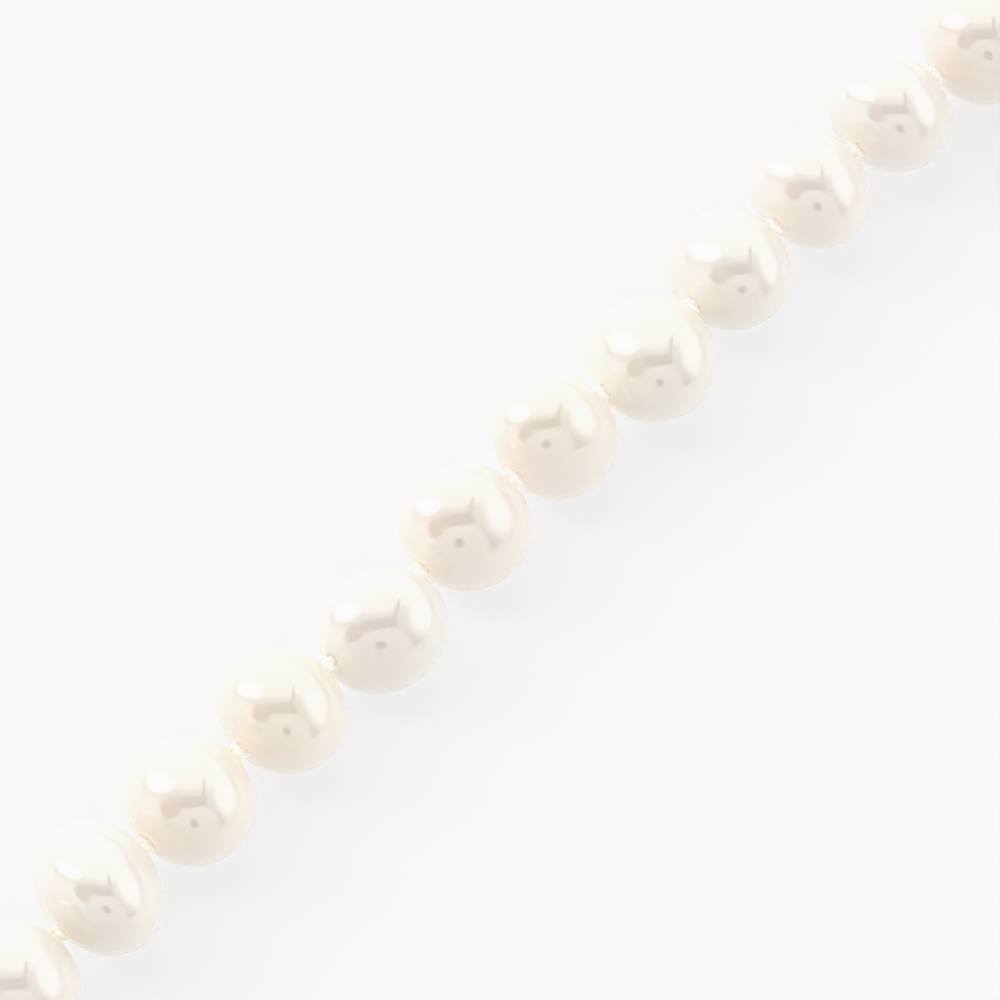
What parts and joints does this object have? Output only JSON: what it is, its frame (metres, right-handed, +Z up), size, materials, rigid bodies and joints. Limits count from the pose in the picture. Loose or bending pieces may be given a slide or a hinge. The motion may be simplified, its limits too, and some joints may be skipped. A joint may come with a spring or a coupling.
{
  "type": "pearl bracelet",
  "caption": "Knotted string of near-round cream pearls closed by a plain barrel clasp, lying flat as one loop with a straight front side.",
  "frame": {"origin": "under the middle of the bracelet's box, on the surface it lies on", "axes": "+Z up from the surface, +X along the straight front side, which lies on the +Y side of the loop"},
  "size_m": [0.0814, 0.0424, 0.0057],
  "materials": {
    "pearl": "polished nacre, cream with faint rose and green overtones",
    "silk": "white twisted silk",
    "silver": "polished sterling silver"
  },
  "bodies": {
    "root": {"pearl_01": "pearl", "pearl_02": "pearl", "pearl_03": "pearl", "pearl_04": "pearl", "pearl_05": "pearl", "pearl_06": "pearl", "pearl_07": "pearl", "pearl_08": "pearl", "pearl_09": "pearl", "pearl_10": "pearl", "pearl_11": "pearl", "pearl_12": "pearl", "pearl_13": "pearl", "pearl_14": "pearl", "pearl_15": "pearl", "pearl_16": "pearl", "pearl_17": "pearl", "pearl_18": "pearl", "pearl_19": "pearl", "pearl_20": "pearl", "pearl_21": "pearl", "pearl_22": "pearl", "pearl_23": "pearl", "pearl_24": "pearl", "pearl_25": "pearl", "pearl_26": "pearl", "pearl_27": "pearl", "pearl_28": "pearl", "pearl_29": "pearl", "pearl_30": "pearl", "pearl_31": "pearl", "pearl_32": "pearl", "pearl_33": "pearl", "silk_thread": "silk", "clasp": "silver"}
  },
  "joints": []
}
